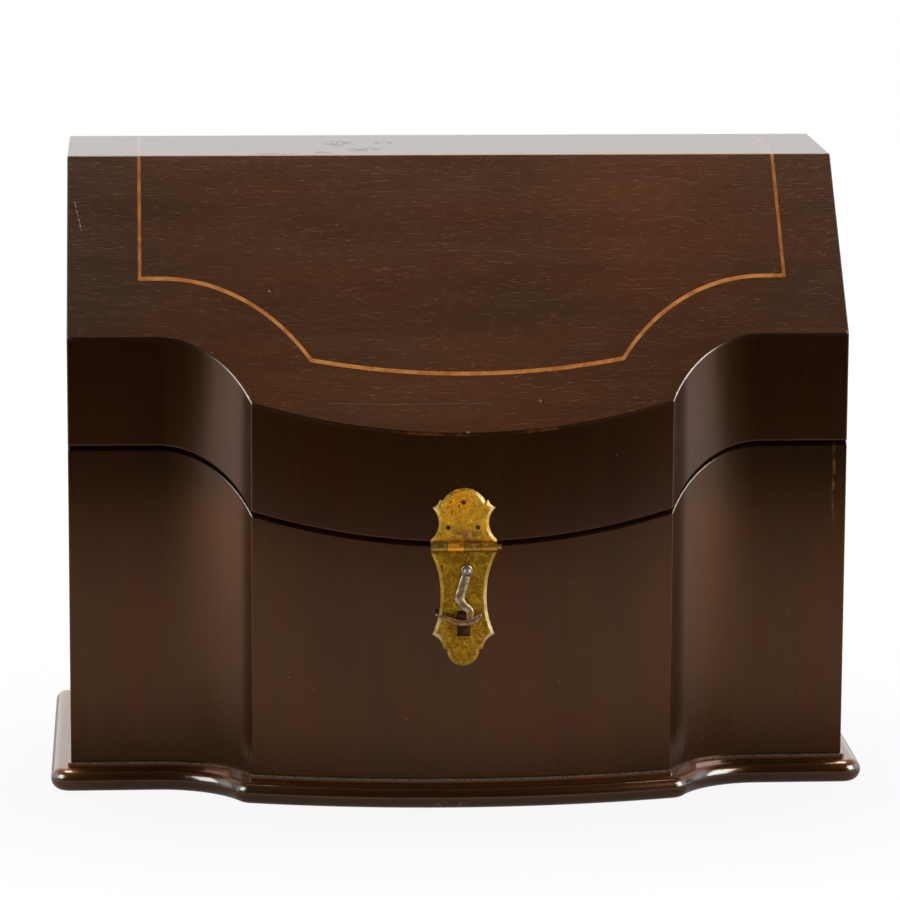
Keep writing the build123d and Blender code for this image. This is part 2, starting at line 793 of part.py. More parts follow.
def make_hook():
    """Rivet and washer on the leaf, and the swan-necked hook that turns on the rivet."""
    x = hasp_x + rivet_place[0]
    z = hasp_axis_z + rivet_place[1]
    washer_front = leaf_front_y - washer_thickness
    eye_back = washer_front - hook_gap
    eye_front = eye_back - hook_eye_thickness
    washer = y_cylinder(washer_radius, x, washer_front, leaf_front_y, z)
    front_edges = [e for e in washer.edges() if abs(e.center().Y - washer_front) < tolerance]
    washer = fillet(front_edges, washer_edge_radius)
    washer -= y_cylinder(rivet_radius + driving_clearance, x, washer_front - overshoot,
                         leaf_front_y + overshoot, z)
    save("hook_washer", washer)
    ball_back = eye_front - hook_gap
    ball_y = ball_back - rivet_ball_standoff
    ball = Pos(x, ball_y, z) * Sphere(rivet_ball_radius)
    ball &= y_cylinder(2 * rivet_ball_radius, x, ball_y - rivet_ball_radius, ball_back, z)
    save("hook_rivet", ball + y_cylinder(rivet_radius, x, ball_y, leaf_back_y, z))
    plane = Plane(origin=(x, eye_back, z), x_dir=(1, 0, 0), z_dir=(0, -1, 0))
    flat = extrude(plane * hook_outline(), amount=hook_lift + 2 * hook_eye_thickness)
    hook = flat & Pos(0, 0, z) * across(hook_side_profile(eye_back))
    bore = y_cylinder(rivet_radius + running_clearance, x, eye_front - overshoot, eye_back + overshoot, z)
    save("hook", hook - bore)


# ---------------------------------------------------------------- build
make_boards()
make_moulding()
make_lid_covering()
make_knife_board()
for hinge_side, sign in (("left", -1), ("right", 1)):
    make_hinge(hinge_side, sign * hinge_spacing / 2)
make_hasp()
make_staple()
make_hook()

os.makedirs("parts", exist_ok=True)
for node_name, node_shape in parts.items():
    export_step(node_shape, f"parts/{node_name}.step")
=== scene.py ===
import json
from math import cos, pi, radians, sin

import bmesh
import bpy
from mathutils import Matrix, Vector


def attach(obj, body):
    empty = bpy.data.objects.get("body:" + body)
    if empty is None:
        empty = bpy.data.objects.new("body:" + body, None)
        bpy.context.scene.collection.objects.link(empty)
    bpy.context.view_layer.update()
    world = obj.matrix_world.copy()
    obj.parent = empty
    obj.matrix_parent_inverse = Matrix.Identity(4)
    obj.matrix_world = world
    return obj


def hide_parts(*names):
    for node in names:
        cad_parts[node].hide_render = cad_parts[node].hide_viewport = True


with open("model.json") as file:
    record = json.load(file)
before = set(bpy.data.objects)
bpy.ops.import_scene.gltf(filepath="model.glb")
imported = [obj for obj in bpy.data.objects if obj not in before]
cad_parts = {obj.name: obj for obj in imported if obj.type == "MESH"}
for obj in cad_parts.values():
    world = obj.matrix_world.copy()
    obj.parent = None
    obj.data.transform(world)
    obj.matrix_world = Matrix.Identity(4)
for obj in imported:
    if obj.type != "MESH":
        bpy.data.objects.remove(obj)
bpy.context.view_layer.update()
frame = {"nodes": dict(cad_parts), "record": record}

# ---------------------------------------------------------------- places and sizes
# In metres, except where they say millimetres.
MM = 0.001

# Camera, fitted to the box's edges and corners in the photograph
CAMERA_PLACE = Vector((-0.1525, -2.3233, 0.6015))
CAMERA_YAW = radians(3.77)
CAMERA_PITCH = radians(10.91)
CAMERA_ROLL = radians(0.28)
CAMERA_LENS = 187.87          # in millimetres
CAMERA_SENSOR = 36.0          # its width, in millimetres

# White table
FLOOR_FRONT = -0.68           # the table ends in front of the box; its edge fades in the polish
FLOOR_SIDE = 1.6
FLOOR_BACK = 2.2
FLOOR_DROP = 0.2 * MM         # the floor lies just under the box
SHADOW_NEAR = 0.24            # the shadow is kept within this distance of the box's middle
SHADOW_FAR = 0.60
SHADOW_SHARE = 0.15
FLOOR_WHITE = 1.08            # as the camera sees it; its matt share brings it back to white
FLOOR_MATT = (0.35, 0.35, 0.35, 1.0)
FLOOR_SHINE = 1.1             # the table's brightness in reflections
# painted light: the bright spots are a glow on the table that only reflections show
SPOT_SHINE = 2.7              # and in the bright spots beside the box
SPOT_PLACE = (1.25, -0.30)    # of their middles, to each side and from front to back
SPOT_EDGE = 1.15              # they fade out at this distance from their middles
FOOT = (0.20, 0.13)           # half the box's width, and how far its foot comes forward
# painted shade: the table's glow, as reflections show it, is dimmer near the box's foot
FOOT_SHADE = 0.15             # the table is darker within this distance of the foot

# Places on the box
TOP = 303.0                   # height of the lid's top, in millimetres
STRINGING_MIDDLE = 0.0031     # the inlaid line was laid a little to the right
QUIRK = (0.0126, 0.0130)      # height where the moulding's quirk begins and where it is full
BARREL_LOW = (0.1259, 0.1263)     # soft lower and upper edges of the hasp's barrel
BARREL_HIGH = (0.1312, 0.1316)
KNUCKLE_EDGES = (-17.0, -8.45, -0.4, 7.6, 16.0)     # across the barrel, in millimetres

nodes = frame["nodes"]


# ---------------------------------------------------------------- shader shorthand
class Shader:
    """A material's nodes, with a short call for each kind used here."""

    def __init__(self, name, metallic=0.0, specular=0.5, coat=0.0, coat_roughness=0.1):
        self.material = bpy.data.materials.new(name)
        self.material.use_nodes = True
        self.tree = self.material.node_tree
        self.surface = self.tree.nodes["Principled BSDF"]
        self.place = self.add("ShaderNodeTexCoord").outputs["Object"]
        for socket, value in (
            ("Metallic", metallic),
            ("Specular IOR Level", specular),
            ("Coat Weight", coat),
            ("Coat Roughness", coat_roughness),
        ):
            self.surface.inputs[socket].default_value = value

    def add(self, kind, **settings):
        node = self.tree.nodes.new(kind)
        for key, value in settings.items():
            setattr(node, key, value)
        return node

    def put(self, socket, value):
        """Links a socket to an output, or sets its value."""
        if isinstance(value, bpy.types.NodeSocket):
            self.tree.links.new(value, socket)
        elif isinstance(value, tuple) and socket.type == "RGBA":
            socket.default_value = (*value, 1.0)
        else:
            socket.default_value = value

    def math(self, operation, a, b=0.0):
        node = self.add("ShaderNodeMath", operation=operation)
        self.put(node.inputs[0], a)
        self.put(node.inputs[1], b)
        return node.outputs[0]

    def times(self, first, *others):
        """Product of some values."""
        for other in others:
            first = self.math("MULTIPLY", first, other)
        return first

    def minus(self, a, b):
        return self.math("SUBTRACT", a, b)

    def distance(self, a, b):
        """How far one value is from another, either way."""
        return self.math("ABSOLUTE", self.minus(a, b))

    def stretch(self, scale, turn=(0.0, 0.0, 0.0)):
        """Place on the box, scaled and turned, for drawing a texture out."""
        node = self.add("ShaderNodeMapping")
        self.put(node.inputs["Vector"], self.place)
        self.put(node.inputs["Scale"], scale)
        self.put(node.inputs["Rotation"], turn)
        return node.outputs[0]

    def axes(self):
        """Place on the box: x, y and z, in metres."""
        node = self.add("ShaderNodeSeparateXYZ")
        self.put(node.inputs[0], self.place)
        return node.outputs

    def facing(self):
        """The surface's own direction, x, y and z."""
        node = self.add("ShaderNodeSeparateXYZ")
        self.put(node.inputs[0], self.add("ShaderNodeTexCoord").outputs["Normal"])
        return node.outputs

    def spot(self, centre, half_size, soft=0.5):
        """1 within an ellipsoid around a place, in millimetres, 0 outside it."""
        shift = self.add("ShaderNodeVectorMath", operation="SUBTRACT")
        self.put(shift.inputs[0], self.place)
        self.put(shift.inputs[1], tuple(value * MM for value in centre))
        share = self.add("ShaderNodeVectorMath", operation="MULTIPLY")
        self.put(share.inputs[0], shift.outputs[0])
        self.put(share.inputs[1], tuple(1.0 / (value * MM) for value in half_size))
        far = self.add("ShaderNodeVectorMath", operation="LENGTH")
        self.put(far.inputs[0], share.outputs[0])
        return self.band(far.outputs["Value"], 1.0 - soft, 1.0, 1.0, 0.0)

    def spots(self, places, soft=0.5):
        """1 within any of some ellipsoids, each given by its centre and half size."""
        total = 0.0
        for centre, half_size in places:
            total = self.math("MAXIMUM", total, self.spot(centre, half_size, soft))
        return total

    def noise(self, vector, scale, detail=2.0, roughness=0.5, distortion=0.0):
        node = self.add("ShaderNodeTexNoise")
        for socket, value in (
            ("Vector", vector),
            ("Scale", scale),
            ("Detail", detail),
            ("Roughness", roughness),
            ("Distortion", distortion),
        ):
            self.put(node.inputs[socket], value)
        return node.outputs["Fac"]

    def band(self, value, low, high, to_low=0.0, to_high=1.0):
        """Smooth step of a value between two limits."""
        node = self.add("ShaderNodeMapRange", interpolation_type="SMOOTHSTEP")
        for socket, setting in (
            ("Value", value),
            ("From Min", low),
            ("From Max", high),
            ("To Min", to_low),
            ("To Max", to_high),
        ):
            self.put(node.inputs[socket], setting)
        return node.outputs[0]

    def mix(self, share, a, b, blend="MIX"):
        """Colour a, with a share of colour b. Sockets 6, 7 and 2 of the node are the ones for colours."""
        node = self.add("ShaderNodeMix", data_type="RGBA", blend_type=blend)
        self.put(node.inputs["Factor"], share)
        self.put(node.inputs[6], a)
        self.put(node.inputs[7], b)
        return node.outputs[2]

    def bump(self, height, distance, below=None):
        node = self.add("ShaderNodeBump")
        self.put(node.inputs["Strength"], 1.0)
        self.put(node.inputs["Distance"], distance)
        self.put(node.inputs["Height"], height)
        if below is not None:
            self.put(node.inputs["Normal"], below)
        return node.outputs[0]

    def finish(self, colour, roughness, normal=None):
        self.put(self.surface.inputs["Base Color"], colour)
        self.put(self.surface.inputs["Roughness"], roughness)
        if normal is not None:
            self.put(self.surface.inputs["Normal"], normal)
        return self.material


# ---------------------------------------------------------------- wood
UPRIGHT = (1.0, 1.0, 0.05)    # texture scale that draws the grain out along an axis
ACROSS = (0.06, 1.0, 1.0)
DEEP = (1.0, 0.06, 1.0)


def shade(tone, *factors):
    """A colour with its channels multiplied."""
    factors = factors if len(factors) == 3 else factors * 3
    return tuple(channel * factor for channel, factor in zip(tone, factors))


def grain(s, along):
    """Grain's tone, 0 dark to 1 light, and its pores."""
    drawn = s.stretch(along)
    cloud = s.noise(s.place, 9.0, 2.0)
    figure = s.noise(drawn, 60.0, 4.0, 0.6, 0.5)
    streaks = s.noise(drawn, 480.0, 3.0, 0.6)
    tone = s.math("ADD", s.times(cloud, 0.20), s.times(figure, 0.45))
    tone = s.math("ADD", tone, s.times(streaks, 0.35))
    pore_scale = tuple(1.0 if value == 1.0 else 0.12 for value in along)
    pores = s.band(s.noise(s.stretch(pore_scale), 1500.0, 1.0), 0.58, 0.72)
    return s.band(tone, 0.36, 0.64), pores


def polished_wood(name, tone, along, polish=0.25, gloss=0.17, softness=0.26, metallic=0.45, wear_and_painted_light=None):
    """Polished wood: grain under a slightly uneven film, and a pale grey colour on the arrises of the
    hollows, a painted highlight that the lamps turn into a white line.

    The wear_and_painted_light function takes the shader and the colour so far. It returns the colour with its
    worn marks and painted light, and how dull it is.
    """
    s = Shader(name, metallic=metallic, specular=0.04, coat=polish, coat_roughness=gloss)
    light, pores = grain(s, along)
    colour = s.mix(light, shade(tone, 0.91), shade(tone, 1.09))
    soft_scale = tuple(v ** 0.4 for v in along)
    red = s.band(s.noise(s.stretch(soft_scale), 46.0, 2.0, 0.5), 0.45, 0.68)
    colour = s.mix(s.times(red, 0.55), colour, shade(tone, 1.22, 0.92, 0.72))
    dark = s.band(s.noise(s.stretch(soft_scale, (0.4, 0.2, 0.7)), 31.0, 2.0, 0.5), 0.46, 0.66)
    colour = s.mix(s.times(dark, 0.45), colour, shade(tone, 0.78, 0.86, 0.90))
    colour = s.mix(s.times(pores, 0.16), colour, shade(tone, 0.35))
    specks = s.band(s.noise(s.place, 520.0, 0.0), 0.862, 0.885)
    colour = s.mix(s.times(specks, 0.5), colour, (0.24, 0.16, 0.10))
    sideways, _, upwards = s.facing()
    # painted highlight: the arrises in the hollows get a pale grey colour, so that the lamps' reflection
    # there shows as a white line
    arris_highlight = s.times(s.band(upwards, 0.05, 0.20), s.band(upwards, 0.60, 0.68, 1.0, 0.0))
    in_hollow = s.band(s.math("ABSOLUTE", sideways), 0.12, 0.35)
    colour = s.mix(s.times(arris_highlight, in_hollow), colour, (0.150, 0.130, 0.105))
    rough = s.math("ADD", softness - 0.015, s.times(light, 0.03))
    if wear_and_painted_light:
        colour, dullness = wear_and_painted_light(s, colour)
        rough = s.math("ADD", rough, s.times(dullness, 0.35))
    waves = s.bump(s.noise(s.place, 22.0, 2.0), 0.20 * MM)
    normal = s.bump(pores, -0.02 * MM, waves)
    return s.finish(colour, rough, normal)


def slope_wear_and_highlights(s, colour):
    """Slope: greyer, bluer ends, a warmer patch, a lighter patch low in the middle, a worn orange edge on the
    bow, pale specks, painted highlights on its two side corners, and scratches.
    """
    x, _, z = s.axes()
    left = s.band(x, -0.185, -0.120, 1.0, 0.0)
    colour = s.mix(left, colour, (0.80, 0.97, 1.20), "MULTIPLY")
    right = s.band(x, 0.125, 0.180)
    colour = s.mix(right, colour, (1.02, 1.14, 1.32), "MULTIPLY")
    warm = s.spot((100.0, -20.0, 270.0), (85.0, 60.0, 70.0), 1.0)
    colour = s.mix(warm, colour, (1.45, 1.22, 1.08), "MULTIPLY")
    low = s.spot((-5.0, -100.0, 205.0), (150.0, 50.0, 50.0), 1.0)
    colour = s.mix(low, colour, (1.50, 1.42, 1.34), "MULTIPLY")
    ragged = s.band(s.noise(s.place, 300.0, 4.0, 0.6), 0.44, 0.56)
    bow_edge = s.spots((
        ((-13.0, -118.0, 184.0), (20.0, 8.0, 8.0)),
        ((38.0, -118.0, 184.0), (12.0, 8.0, 8.0)),
    ))
    bow_edge = s.times(bow_edge, ragged, s.band(s.facing()[2], 0.15, 0.66, 1.0, 0.0))
    colour = s.mix(bow_edge, colour, (0.40, 0.13, 0.035))
    for centre, size in (
        ((-50.0, -118.0, 184.8), 0.7),
        ((1.5, -118.6, 184.2), 0.6),
        ((37.0, -106.0, 197.0), 0.6),
        ((-92.0, -60.0, 243.8), 0.5),
    ):
        chip = s.spot(centre, (size * 2.0, size * 1.5, size * 1.5), 0.7)
        chip = s.times(chip, s.band(s.noise(s.place, 1600.0, 1.0), 0.40, 0.55))
        colour = s.mix(s.times(chip, 0.8), colour, (0.62, 0.50, 0.34))
    # painted highlight: a pale spot at each of the slope's two side corners
    for side in (-1.0, 1.0):
        corner_highlight = s.times(s.spot((side * 189.9, -78.6, 224.2), (1.6, 2.0, 2.4), 0.5), ragged)
        colour = s.mix(corner_highlight, colour, (0.80, 0.74, 0.64))
    wobble = s.times(s.minus(s.noise(s.place, 18.0, 1.0), 0.5), 0.004)
    off_line = s.distance(s.minus(z, 0.1962), wobble)
    scratch = s.times(s.band(off_line, 0.00008, 0.00030, 1.0, 0.0), s.band(x, -0.072, -0.055))
    scratch = s.times(scratch, s.band(x, 0.005, 0.020, 1.0, 0.0))
    colour = s.mix(s.times(scratch, 0.22), colour, (0.42, 0.30, 0.22))
    fall = s.minus(0.2836, z)
    slanting = s.minus(x, s.times(fall, 0.25))
    off_line = s.math("ABSOLUTE", s.math("ADD", slanting, 0.1868))
    nick = s.times(s.band(off_line, 0.0001, 0.0004, 1.0, 0.0), s.band(fall, 0.0, 0.0015))
    nick = s.times(nick, s.band(fall, 0.0125, 0.014, 1.0, 0.0))
    nick = s.times(nick, s.band(s.noise(s.place, 900.0, 2.0), 0.42, 0.55))
    colour = s.mix(s.times(nick, 0.6), colour, (0.60, 0.56, 0.48))
    return colour, 0.0


def top_wear(s, colour):
    """Top: dark reddish scuffs left of the middle, and fine dull specks."""
    ragged = s.band(s.noise(s.stretch((1.0, 0.5, 1.0)), 240.0, 4.0, 0.6), 0.44, 0.54)
    scuffs = s.spots((
        ((-54.0, 44.0, TOP), (10.0, 14.0, 6.0)),
        ((-42.0, 18.0, TOP), (11.0, 12.0, 6.0)),
        ((-31.0, 46.0, TOP), (7.0, 8.0, 6.0)),
        ((-86.0, 4.0, TOP), (14.0, 5.0, 6.0)),
        ((-63.0, 8.0, TOP), (6.0, 7.0, 6.0)),
    ), 0.7)
    scuffs = s.times(scuffs, ragged)
    colour = s.mix(s.times(scuffs, 0.6), colour, (0.048, 0.014, 0.006))
    fine = s.band(s.noise(s.place, 700.0, 2.0), 0.60, 0.72)
    return colour, s.math("MAXIMUM", scuffs, s.times(fine, 0.12))


def skirt_wear_and_highlights(s, colour):
    """Lid's front: its lower edge is worn pale towards the sides, and its two lower corners have painted
    highlights.
    """
    x, _, z = s.axes()
    low = s.band(z, 0.1698, 0.1704, 1.0, 0.0)
    pale_patch = s.times(low, s.band(s.math("ABSOLUTE", x), 0.147, 0.152))
    pale_patch = s.times(pale_patch, s.band(s.noise(s.place, 150.0, 3.0), 0.38, 0.60, 0.3, 1.0))
    colour = s.mix(s.times(pale_patch, 0.7), colour, (0.20, 0.16, 0.12))
    ragged = s.band(s.noise(s.place, 500.0, 3.0), 0.40, 0.55)
    # painted highlight: a pale spot at each of the skirt's two lower corners
    for side in (-1.0, 1.0):
        corner_highlight = s.times(s.spot((side * 190.2, -78.8, 170.0), (1.3, 2.0, 1.6), 0.5), ragged)
        colour = s.mix(corner_highlight, colour, (0.70, 0.64, 0.54))
    return colour, 0.0


def body_wear_and_shade(s, colour):
    """Case's front: painted shade under the lid, and a streak of old varnish down its right end."""
    x, _, z = s.axes()
    # painted shade: the case's front is darker and bluer towards the lid
    colour = s.mix(s.band(z, 0.132, 0.168), colour, (0.60, 0.64, 0.72), "MULTIPLY")
    off_line = s.distance(x, 0.1842)
    streak = s.times(s.band(off_line, 0.0004, 0.0009, 1.0, 0.0), s.band(z, 0.118, 0.150))
    ragged = s.band(s.noise(s.stretch((1.0, 1.0, 0.35)), 700.0, 3.0), 0.44, 0.60)
    colour = s.mix(s.times(s.times(streak, ragged), 0.65), colour, (0.40, 0.22, 0.06))
    return colour, 0.0


def moulding_wear(s, colour):
    """Moulding: pale wax left in its quirk, and bare orange wood where its foot is knocked."""
    _, _, z = s.axes()
    dotted = s.band(s.noise(s.place, 850.0, 3.0, 0.7), 0.44, 0.54)
    wax = s.times(s.band(z, *QUIRK), dotted, 0.85)
    colour = s.mix(wax, colour, (0.40, 0.40, 0.33))
    ragged = s.band(s.noise(s.place, 420.0, 3.0), 0.42, 0.54)
    knocks = s.spots((
        ((-11.0, -127.5, 2.4), (5.0, 4.0, 2.4)),
        ((-1.5, -127.5, 2.4), (3.0, 4.0, 2.4)),
        ((-92.0, -127.5, 2.4), (2.0, 4.0, 2.4)),
    ), 0.6)
    knocks = s.times(knocks, ragged)
    colour = s.mix(knocks, colour, (0.60, 0.25, 0.06))
    return colour, s.math("MAXIMUM", knocks, wax)


def dry_wood(name, tone, along, roughness=0.62):
    """Unpolished wood inside the box."""
    s = Shader(name, specular=0.3)
    light, pores = grain(s, along)
    colour = s.mix(light, shade(tone, 0.75), shade(tone, 1.25))
    colour = s.mix(s.times(pores, 0.4), colour, shade(tone, 0.5))
    return s.finish(colour, roughness, s.bump(pores, -0.05 * MM))


def stringing_wood():
    """Inlaid line of boxwood under the same polish, darker where it runs up the sides."""
    s = Shader("stringing", specular=0.1, coat=0.25, coat_roughness=0.18)
    drawn = s.noise(s.place, 160.0, 3.0)
    fine = s.noise(s.place, 900.0, 2.0)
    colour = s.mix(s.band(drawn, 0.35, 0.65), (0.52, 0.165, 0.026), (0.74, 0.285, 0.060))
    colour = s.mix(s.band(fine, 0.62, 0.72), colour, (0.26, 0.09, 0.02))
    up_the_sides = s.band(s.distance(s.axes()[0], STRINGING_MIDDLE), 0.150, 0.156)
    colour = s.mix(up_the_sides, colour, (0.70, 0.66, 0.60), "MULTIPLY")
    return s.finish(colour, 0.35)


# ---------------------------------------------------------------- metal
def aged_brass(name, bright, dull, stain, roughness=0.36, details=None):
    """Brass with a worn lacquer, brown stains and fine pits, and, where its details add them, bevels worn
    bare with a painted highlight.
    """
    s = Shader(name, metallic=1.0)
    cloud = s.noise(s.place, 150.0, 4.0, 0.6)
    mottle = s.noise(s.place, 620.0, 4.0, 0.65)
    colour = s.mix(s.band(cloud, 0.40, 0.60), dull, bright)
    colour = s.mix(s.times(s.band(mottle, 0.50, 0.62), 0.8), colour, stain)
    pits = s.band(s.noise(s.place, 1300.0, 2.0), 0.60, 0.67)
    colour = s.mix(s.times(pits, 0.85), colour, (0.030, 0.012, 0.003))
    if details:
        colour = details(s, colour)
    rough = s.math("ADD", roughness, s.times(s.band(mottle, 0.45, 0.65), 0.18))
    normal = s.bump(mottle, 0.16 * MM)
    normal = s.bump(pits, -0.10 * MM, normal)
    return s.finish(colour, rough, normal)


def knuckle(s, index):
    """1 on one knuckle of the hasp's barrel, counted from the left."""
    x, _, z = s.axes()
    low, high = KNUCKLE_EDGES[index:index + 2]
    on_barrel = s.times(s.band(z, *BARREL_LOW), s.band(z, *BARREL_HIGH, 1.0, 0.0))
    inside = s.times(s.math("GREATER_THAN", x, low * MM), s.math("LESS_THAN", x, high * MM))
    return s.times(on_barrel, inside)


def bevels_bare_and_highlit(s, colour):
    """Pale metal on the bevels, larger towards the right where the light falls: partly worn bare, partly a
    painted highlight. Duller and greener along the rest.
    """
    _, ahead, _ = s.facing()
    _, _, z = s.axes()
    tilt = s.math("ABSOLUTE", ahead)
    bevel = s.times(s.band(tilt, 0.90, 0.96, 1.0, 0.0), s.band(tilt, 0.55, 0.75))
    off_barrel = s.math("MAXIMUM", s.band(z, 0.1248, 0.1256, 1.0, 0.0), s.band(z, 0.1316, 0.1324))
    bevel = s.times(bevel, off_barrel)
    # partly worn bare, partly painted highlight: pale spots on the bevels, larger on the right, where the
    # light falls
    pale_patch = s.spots((
        ((15.0, -120.0, 95.0), (9.0, 6.0, 26.0)),
        ((-16.0, -120.0, 88.0), (8.0, 6.0, 13.0)),
        ((13.0, -120.0, 151.0), (11.0, 6.0, 9.0)),
        ((-15.0, -120.0, 149.0), (5.0, 6.0, 6.0)),
        ((17.0, -120.0, 135.5), (8.0, 6.0, 6.0)),
        ((-17.0, -120.0, 134.0), (4.0, 6.0, 4.0)),
    ), 0.6)
    patchy = s.band(s.noise(s.place, 240.0, 3.0), 0.32, 0.50, 0.35, 1.0)
    pale_patch = s.times(s.times(pale_patch, patchy), bevel)
    colour = s.mix(s.times(bevel, 0.55), colour, (0.52, 0.36, 0.09))
    return s.mix(pale_patch, colour, (0.98, 0.77, 0.43))


def plate_details(s, colour):
    """Orange lacquer left at the top of the plate, a brown band over the barrel, and its two knuckles."""
    ragged = s.band(s.noise(s.place, 420.0, 3.0), 0.30, 0.54)
    orange = s.times(s.spot((-2.0, -120.0, 151.0), (9.0, 6.0, 8.5), 0.8), ragged)
    colour = s.mix(s.times(orange, 0.75), colour, (0.95, 0.36, 0.015))
    brown = s.times(s.spot((0.0, -120.0, 133.5), (15.0, 6.0, 5.5), 0.7), ragged)
    colour = s.mix(s.times(brown, 0.9), colour, (0.24, 0.11, 0.025))
    pitted = s.band(s.noise(s.place, 900.0, 2.0), 0.57, 0.62)
    pitted = s.times(pitted, s.spot((-4.0, -120.0, 147.0), (10.0, 6.0, 10.0), 0.6))
    colour = s.mix(s.times(pitted, 0.8), colour, (0.10, 0.035, 0.004))
    colour = s.mix(s.times(knuckle(s, 0), 0.8), colour, (0.20, 0.15, 0.035))
    colour = s.mix(s.times(knuckle(s, 2), 0.8), colour, (0.26, 0.14, 0.035))
    return bevels_bare_and_highlit(s, colour)


def leaf_details(s, colour):
    """Brown and olive rings of old polish on the leaf, and its two knuckles."""
    swirl = s.noise(s.place, 300.0, 3.0, 0.6, 2.8)
    colour = s.mix(s.times(s.band(swirl, 0.52, 0.60), 0.6), colour, (0.17, 0.070, 0.006))
    gold = s.band(s.noise(s.place, 230.0, 3.0, 0.6, 2.0), 0.52, 0.58)
    colour = s.mix(s.times(gold, 0.7), colour, (0.45, 0.25, 0.015))
    colour = s.mix(s.times(knuckle(s, 1), 0.9), colour, (0.80, 0.33, 0.025))
    colour = s.mix(s.times(knuckle(s, 3), 0.9), colour, (0.42, 0.19, 0.02))
    return bevels_bare_and_highlit(s, colour)


def worn_metal(name, light, dark, roughness=0.3, details=None):
    """Plain metal with dull patches."""
    s = Shader(name, metallic=1.0)
    cloud = s.noise(s.place, 260.0, 4.0, 0.6)
    colour = s.mix(s.band(cloud, 0.42, 0.62), light, dark)
    if details:
        colour = details(s, colour)
    rough = s.math("ADD", roughness, s.times(cloud, 0.2))
    return s.finish(colour, rough, s.bump(s.noise(s.place, 900.0, 3.0), 0.05 * MM))


def coppery_tail(s, colour):
    """The hook's tail has gone coppery brown."""
    x, _, z = s.axes()
    tail = s.times(s.band(z, 0.0955, 0.0985, 1.0, 0.0), s.band(x, -0.014, -0.011))
    tail = s.times(tail, s.band(x, 0.001, 0.005, 1.0, 0.3))
    ragged = s.band(s.noise(s.place, 380.0, 2.0), 0.34, 0.56, 0.4, 1.0)
    return s.mix(s.times(tail, ragged), colour, (0.27, 0.105, 0.028))


def make_materials():
    """One material for each slot of the record, and for the nodes that look different from their slot.

    hasp_brass is the slot's own look, which only the hook's washer has.
    """
    # brass: bright, dull and stained
    gold = ((0.80, 0.42, 0.030), (0.50, 0.27, 0.025), (0.62, 0.24, 0.012))
    olive = ((0.326, 0.176, 0.0135), (0.22, 0.11, 0.0093), (0.255, 0.097, 0.0068))
    bronze = ((0.090, 0.045, 0.022), (0.030, 0.015, 0.008), (0.03, 0.01, 0.005))
    yellow = ((0.50, 0.34, 0.12), (0.30, 0.19, 0.06), (0.24, 0.12, 0.04))
    return {
        "body_wood": polished_wood("body_wood", (0.096, 0.0335, 0.0058), UPRIGHT, wear_and_painted_light=body_wear_and_shade),
        "skirt_wood": polished_wood("skirt_wood", (0.088, 0.0285, 0.0058), UPRIGHT, 0.33, metallic=0.30,
                                    wear_and_painted_light=skirt_wear_and_highlights),
        "side_wood": polished_wood("side_wood", (0.088, 0.0300, 0.0070), UPRIGHT),
        "back_wood": polished_wood("back_wood", (0.092, 0.0340, 0.0100), ACROSS, gloss=0.30),
        "slope_wood": polished_wood("slope_wood", (0.100, 0.0405, 0.0170), ACROSS, wear_and_painted_light=slope_wear_and_highlights),
        "top_wood": polished_wood("top_wood", (0.080, 0.0325, 0.0105), ACROSS, 0.67, 0.12, wear_and_painted_light=top_wear),
        "moulding_wood": polished_wood("moulding_wood", (0.270, 0.0980, 0.0260), ACROSS, 1.0, 0.08,
                                       metallic=0.22, wear_and_painted_light=moulding_wear),
        "board_wood": polished_wood("board_wood", (0.090, 0.0360, 0.0120), ACROSS, gloss=0.35),
        "inner_wood": dry_wood("inner_wood", (0.28, 0.16, 0.08), ACROSS),
        "stringing": stringing_wood(),
        "top_stringing": polished_wood("top_stringing", (0.170, 0.0690, 0.0190), DEEP, 0.67, 0.12),
        "hasp_brass": aged_brass("hasp_brass", *olive),
        "hasp_plate": aged_brass("plate_brass", *gold, details=plate_details),
        "hasp_leaf": aged_brass("leaf_brass", *olive, details=leaf_details),
        "hasp_nails": worn_metal("nail_iron", (0.080, 0.050, 0.020), (0.025, 0.015, 0.008), 0.4),
        "hasp_pin": worn_metal("pin_brass", (0.40, 0.30, 0.14), (0.22, 0.15, 0.06), 0.35),
        "staple_brass": aged_brass("staple_brass", *bronze, 0.5),
        "hinge_brass": aged_brass("hinge_brass", *yellow, 0.42),
        "hook": worn_metal("hook_metal", (0.40, 0.31, 0.19), (0.17, 0.12, 0.07), 0.34, coppery_tail),
        "hook_metal": worn_metal("rivet_metal", (0.25, 0.225, 0.19), (0.15, 0.13, 0.10), 0.46),
        "pin_steel": worn_metal("pin_steel", (0.42, 0.38, 0.32), (0.20, 0.17, 0.13)),
        "screw_steel": worn_metal("screw_steel", (0.34, 0.31, 0.28), (0.14, 0.12, 0.10), 0.42),
    }


def dress(materials):
    """Gives every CAD node its own material, or the material of its slot."""
    for part in frame["record"]["subparts"]:
        look = materials.get(part["node"], materials.get(part["material_slot"]))
        for place in nodes[part["node"]].material_slots:
            place.material = look


# ---------------------------------------------------------------- hook
RIVET = Vector((1.0, -121.75, 117.0957))      # middle of the hook's eye, in millimetres
EYE_RADIUS = 2.0
EYE_WIRE = 0.9                # half its width
EYE_DEPTH = 0.8               # half its depth
